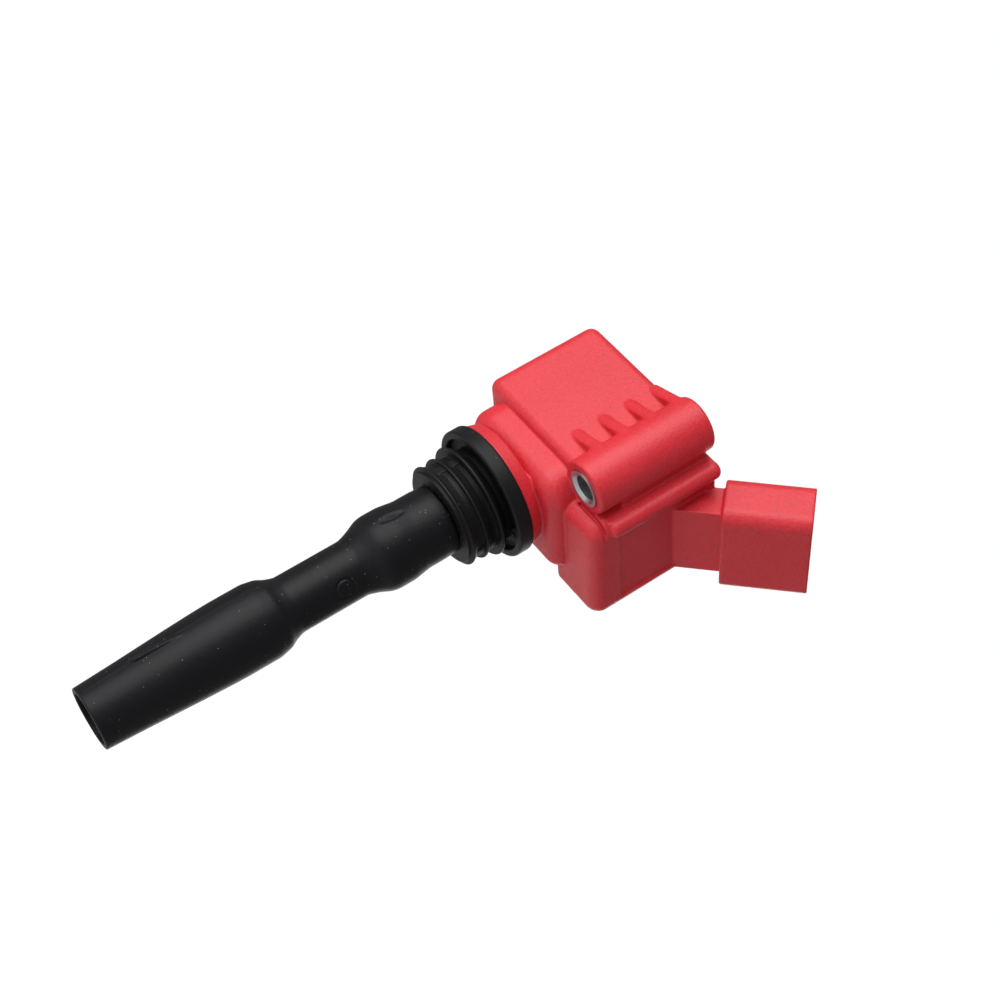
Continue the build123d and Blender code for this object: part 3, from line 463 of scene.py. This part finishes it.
@dataclass
class WellSeal:
    """The rubber seal: a disc with an open underside, three barbed rings and the ribs between them."""

    bore: float = 11.5
    top: float = -10.82
    seat: float = -15.0
    radius: float = 17.6
    wall: float = 2.0
    recess: float = 2.2
    bellows: float = 12.6
    ring_radii: tuple[float, ...] = (15.1, 13.9, 13.7)
    ring_lows: tuple[float, ...] = (-18.45, -22.3, -26.15)
    ring_band: float = 0.85
    end: float = -26.95
    end_bore: float = 6.9
    rib_count: int = 3
    rib_width: float = 2.4
    rib_reach: float = 13.2
    rib_first: float = -106.0
    rib_edge: float = 0.35
    bridge_low: float = 0.55
    around: int = 480
    spacing: float = 0.4

    def outline(self) -> np.ndarray:
        """Gives the section through the seal, disc first, in millimetres."""
        inner = self.radius - self.wall
        roof = self.seat + self.recess
        corners = [
            (self.bore, self.top, 0.2), (self.radius, self.top, 0.7), (self.radius, self.seat, 0.7),
            (inner, self.seat, 0.5), (inner - 0.2, roof, 0.5), (self.bellows, roof, 0.5),
        ]
        for radius, low in zip(self.ring_radii, self.ring_lows):
            corners += [
                (self.bellows, low + 2.7, 0.3), (radius - 0.45, low + self.ring_band + 0.25, 0.4),
                (radius, low + 0.5, 0.4), (radius - 0.1, low, 0.35), (self.bellows, low + 0.1, 0.3),
            ]
        floor = self.ring_lows[-1] + 0.08
        corners += [(self.bellows, self.end, 0.3), (self.end_bore, self.end, 0.2),
                    (self.end_bore, floor, 0.2), (self.bore, floor, 0.2)]
        return resampled(rounded(corners), self.spacing)

    def build(self, palette: Palette) -> bpy.types.Object:
        """Makes the seal with its ribs and bridges.

        Args:
            palette: Where its material comes from.

        Returns:
            The seal.
        """
        section = self.outline()
        angle = np.arange(self.around) * (2 * math.pi / self.around)
        radius = np.repeat(section[None, :, 0], self.around, axis=0)
        height = np.repeat(section[None, :, 1], self.around, axis=0)
        spacing = 2 * math.pi / self.rib_count
        offset = (angle - math.radians(self.rib_first) + spacing / 2) % spacing - spacing / 2
        rib = ridge(offset[:, None] * radius, self.rib_width / 2, self.rib_edge)
        outside = radius > self.bore + 0.4
        between = outside & (height < self.seat - 0.8) & (height > self.ring_lows[-1] + 0.3)
        radius = np.where(between, np.maximum(radius, radius + (self.rib_reach - radius) * rib), radius)
        roof = (height > self.seat + 0.6) & (height < self.top - 1.0)
        hollow = (radius > self.bore + 0.4) & (radius < self.radius - self.wall / 2)
        height = np.where(roof & hollow, height + (self.seat + self.bridge_low - height) * rib, height)
        points = np.stack([radius * np.cos(angle)[:, None], radius * np.sin(angle)[:, None], height], axis=-1)
        mesh = grid_mesh("well_seal", points[::-1])
        return publish("well_seal", mesh, "base", "seal_collar", "seal_rubber", palette)


@dataclass
class PlugBoot:
    """The rubber stalk: a smooth turned body with its moulded marks."""

    tip: float = -124.5
    top: float = -27.25
    grip_low: float = -119.5
    grip_high: float = -104.5
    grip_radius: float = 5.2
    nipple_bore: float = 7.1
    tube_bore: float = 5.45
    mouth_bore: float = 6.9
    largest: float = 10.05
    around: int = 360
    rows: int = 330
    fine_rows: int = 2400
    blend_rows: int = 34
    spacing: float = 0.6
    profile: tuple[tuple[float, float], ...] = (
        (8.15, -124.5), (8.7, -113.0), (9.5, -99.2), (9.85, -92.0), (10.0, -87.5), (10.0, -78.5),
        (9.3, -75.0), (8.4, -73.5), (7.5, -70.9), (7.5, -52.2), (8.4, -49.4), (9.75, -46.4),
        (10.05, -44.7), (10.05, -40.2), (9.35, -35.7), (9.35, -31.0), (9.25, -29.2), (9.2, -27.25),
    )
    mark_angle: float = -106.0
    mark_lean: float = 9.0
    mark_base: float = -110.5
    mark_length: float = 13.5
    mark_half: float = 1.1
    mark_height: float = 0.8
    mark_radius: float = 9.0
    seam_angle: float = -105.0
    seam_height: float = 0.06
    seam_middle: float = -99.0
    seam_reach: float = 24.0
    disc_angle: float = -26.0
    disc_height: float = -58.0
    disc_radius: float = 2.45
    disc_depth: float = 0.3
    dent_angle: float = -93.0
    dent_height: float = -39.7
    dent_half: tuple[float, float] = (1.5, 4.2)
    dent_depth: float = 0.35

    def section(self) -> np.ndarray:
        """Gives the closed section through the boot, outside first, in millimetres."""
        radii, heights = np.array(self.profile).T
        fine = np.linspace(self.tip, self.top, self.fine_rows)
        window = np.hanning(2 * self.blend_rows + 1)
        padded = np.pad(np.interp(fine, heights, radii), self.blend_rows, mode="edge")
        smooth = np.convolve(padded, window / window.sum(), mode="valid")
        keep = np.linspace(8, len(fine) - 1, self.rows).astype(int)
        outer = np.stack([smooth[keep], fine[keep]], axis=-1)
        bore = rounded([
            (self.nipple_bore, self.top, 0.3), (self.nipple_bore, -45.0, 0.2),
            (self.tube_bore, -46.0, 0.2), (self.tube_bore, self.grip_high + 1.0, 0.2),
            (self.grip_radius, self.grip_high, 0.2), (self.grip_radius, self.grip_low, 0.5),
            (self.mouth_bore - 0.3, self.grip_low - 2.0, 0.6), (self.mouth_bore, self.tip + 0.1, 0.2),
        ])
        rim = np.array([(self.mouth_bore + 0.05, self.tip + 0.04), (self.mouth_bore + 0.2, self.tip),
                        (smooth[0] - 0.3, self.tip), (smooth[0] - 0.08, self.tip + 0.1)])
        return resampled(np.vstack([outer, bore, rim]), self.spacing)

    def build(self, palette: Palette) -> bpy.types.Object:
        """Makes the boot with its pointer, seam, disc mark and dent.

        Args:
            palette: Where its material comes from.

        Returns:
            The boot.
        """
        section = self.section()
        angle = np.arange(self.around) * (2 * math.pi / self.around)
        radius = np.repeat(section[None, :, 0], self.around, axis=0)
        height = np.repeat(section[None, :, 1], self.around, axis=0)
        skin = radius > self.nipple_bore + 0.2
        climb = np.clip((height - self.mark_base) / self.mark_length, 0, 1)
        lean = math.radians(self.mark_lean) * climb
        across = (turned_from(angle, self.mark_angle)[:, None] - lean) * self.mark_radius
        foot = np.hypot(across, np.minimum(height - self.mark_base - self.mark_half, 0))
        half = self.mark_half * (1 - 0.8 * climb)
        lift = self.mark_height * (1 - climb ** 2) * ridge(foot, half, 0.3)
        seam = ridge(turned_from(angle, self.seam_angle)[:, None] * self.mark_radius, 0.1, 0.3)
        lift = lift + self.seam_height * seam * (np.abs(height - self.seam_middle) < self.seam_reach)
        far = np.hypot(turned_from(angle, self.disc_angle)[:, None] * 7.5, height - self.disc_height)
        lift = lift - self.disc_depth * ridge(far - self.disc_radius, 0.1, 0.3)
        wide, tall = self.dent_half
        oval = np.hypot(turned_from(angle, self.dent_angle)[:, None] * 10.0 / wide,
                        (height - self.dent_height) / tall)
        lift = lift - self.dent_depth * ridge(oval, 0.45, 0.5)
        radius = np.where(skin, np.minimum(radius + lift, self.largest), radius)
        points = np.stack([radius * np.cos(angle)[:, None], radius * np.sin(angle)[:, None], height], axis=-1)
        mesh = grid_mesh("plug_boot", points)
        return publish("plug_boot", mesh, "boot", "boot", "boot_rubber", palette)


@dataclass
class ContactSpring:
    """The compression spring above the plug contact, kept at the length of its CAD node."""

    fixed_end: float = -37.2
    length: float = 54.6
    travel: float = 4.0

    def build(self, source: bpy.types.Object, palette: Palette) -> bpy.types.Object:
        """Makes the spring from a copy of the CAD node's mesh.

        Args:
            source: The CAD node of the spring.
            palette: Where its material comes from.

        Returns:
            The spring.
        """
        mesh = source.data.copy()
        mesh.name = "contact_coil"
        piece = publish("contact_coil", mesh, "base", "contact_spring", "spring_steel", palette)
        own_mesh(piece)
        return piece


@dataclass
class Internals:
    """Every CAD node that keeps its own shape, with its real finish."""

    replaced: tuple[str, ...] = ("housing", "seal_collar", "boot", "contact_spring")

    def dress(self, frame: dict, palette: Palette) -> None:
        """Gives each remaining node its material.

        Args:
            palette: Where the materials come from.
        """
        slots = {part["node"]: part["material_slot"] for part in frame["record"]["subparts"]}
        for name, node in frame["nodes"].items():
            if name in self.replaced:
                continue
            node.data.materials.clear()
            node.data.materials.append(palette.get(slots[name]))
            LOG.info("%s: %s", name, slots[name])


class Light(Enum):
    """The lamps of the studio."""

    KEY = "large softbox in front of the flat face"
    LOW = "weak softbox from below"
    REAR = "softbox behind"


@dataclass(frozen=True)
class Lamp:
    """Where a softbox hangs, how wide it is in metres and its power in watts."""

    toward: tuple[float, float, float]
    distance: float
    size: float
    power: float


@dataclass
class Studio:
    """A pale floor far below, a white surround and soft lamps."""

    camera_mm: tuple[float, float, float] = (268.2, -375.2, -166.5)
    right: tuple[float, float, float] = (0.568, 0.0612, 0.8208)
    up: tuple[float, float, float] = (-0.6166, -0.6289, 0.4736)
    back: tuple[float, float, float] = (0.5452, -0.7751, -0.3194)
    lens: float = 70.2
    floor_drop: float = 0.42
    floor_glow: float = 0.08
    ambient: float = 0.26
    surround_radius: float = 4.0
    floor_half: float = 1.6
    lamps: dict[Light, Lamp] = field(default_factory=lambda: {
        Light.KEY: Lamp((-0.2, -1.0, 0.22), 0.9, 0.9, 9.6),
        Light.LOW: Lamp((0.3, -0.5, -0.8), 1.1, 0.7, 0.5),
        Light.REAR: Lamp((-0.4, 1.0, 0.4), 1.2, 1.0, 6.0),
    })

    def build(self) -> None:
        """Makes the camera, the lamps, the surround and the floor."""
        self.make_camera()
        centre = Vector((0.01, 0.0, -0.04))
        for light, lamp in self.lamps.items():
            data = bpy.data.lights.new(light.name.lower(), "AREA")
            data.size = lamp.size
            data.energy = lamp.power
            made = bpy.data.objects.new(light.name.lower(), data)
            toward = Vector(lamp.toward).normalized()
            made.location = centre + toward * lamp.distance
            made.rotation_mode = "QUATERNION"
            made.rotation_quaternion = toward.to_track_quat("Z", "Y")
            bpy.context.scene.collection.objects.link(made)
        self.make_world()
        self.make_surround()
        self.make_floor()
        bpy.context.scene.view_settings.view_transform = "Standard"

    def make_camera(self) -> None:
        """Places the camera."""
        data = bpy.data.cameras.new("camera")
        data.lens = self.lens
        data.sensor_width = 36.0
        data.clip_start = 0.01
        camera = bpy.data.objects.new("camera", data)
        turn = Matrix((self.right, self.up, self.back)).transposed()
        camera.rotation_mode = "QUATERNION"
        camera.rotation_quaternion = turn.to_quaternion()
        camera.location = Vector(self.camera_mm) * MM
        bpy.context.scene.collection.objects.link(camera)
        bpy.context.scene.camera = camera

    def make_world(self) -> None:
        """Sets the even light that comes from all round."""
        world = bpy.data.worlds.new("studio")
        world.use_nodes = True
        world.node_tree.nodes.clear()
        light = add_node(world.node_tree, "ShaderNodeBackground",
                         values={"Color": srgb("#ffffff"), "Strength": self.ambient})
        add_node(world.node_tree, "ShaderNodeOutputWorld", links={"Surface": light.outputs["Background"]})
        bpy.context.scene.world = world

    def make_surround(self) -> None:
        """Hangs a white cyclorama round the scene that only closes the view."""
        mesh = bpy.data.meshes.new("surround")
        turns, rows, radius = 64, 32, self.surround_radius
        places = [(radius * math.sin(math.pi * r / rows) * math.cos(2 * math.pi * t / turns),
                   radius * math.sin(math.pi * r / rows) * math.sin(2 * math.pi * t / turns),
                   radius * math.cos(math.pi * r / rows)) for r in range(rows + 1) for t in range(turns)]
        faces = [(r * turns + t, r * turns + (t + 1) % turns, (r + 1) * turns + (t + 1) % turns,
                  (r + 1) * turns + t) for r in range(rows) for t in range(turns)]
        mesh.from_pydata(places, [], faces)
        mesh.validate()
        surround = bpy.data.objects.new("surround", mesh)
        bpy.context.scene.collection.objects.link(surround)
        paper = bpy.data.materials.new("white_cyclorama")
        paper.use_nodes = True
        paper.node_tree.nodes.clear()
        glow = add_node(paper.node_tree, "ShaderNodeEmission",
                        values={"Color": srgb("#ffffff"), "Strength": 1.02})
        add_node(paper.node_tree, "ShaderNodeOutputMaterial", links={"Surface": glow.outputs["Emission"]})
        mesh.materials.append(paper)
        surround.visible_diffuse = False
        surround.visible_glossy = False
        surround.visible_transmission = False
        surround.visible_shadow = False

    def make_floor(self) -> None:
        """Lays the pale floor, well under the low camera."""
        half = self.floor_half
        corners = [(-half, -half, 0), (half, -half, 0), (half, half, 0), (-half, half, 0)]
        mesh = bpy.data.meshes.new("floor")
        mesh.from_pydata(corners, [], [(0, 1, 2, 3)])
        floor = bpy.data.objects.new("floor", mesh)
        floor.location.z = -self.floor_drop
        bpy.context.scene.collection.objects.link(floor)
        card = Finish("matt_white_card", Pattern.MOULDED_SKIN, "#f4f4f4", "#efefef", 0.9, specular=0.2)
        paper = card.material()
        lit = next(node for node in paper.node_tree.nodes if node.type == "BSDF_PRINCIPLED")
        lit.inputs["Emission Color"].default_value = srgb("#ffffff")
        lit.inputs["Emission Strength"].default_value = self.floor_glow
        mesh.materials.append(paper)


def main() -> None:
    """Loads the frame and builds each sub-assembly in order."""
    logging.basicConfig(level=logging.INFO, format="%(message)s")
    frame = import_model()
    palette = Palette()
    Studio().build()
    MouldedHead().build(frame["nodes"]["housing"], palette)
    WellSeal().build(palette)
    PlugBoot().build(palette)
    ContactSpring().build(frame["nodes"]["contact_spring"], palette)
    Internals().dress(frame, palette)


if __name__ == "__main__":
    main()
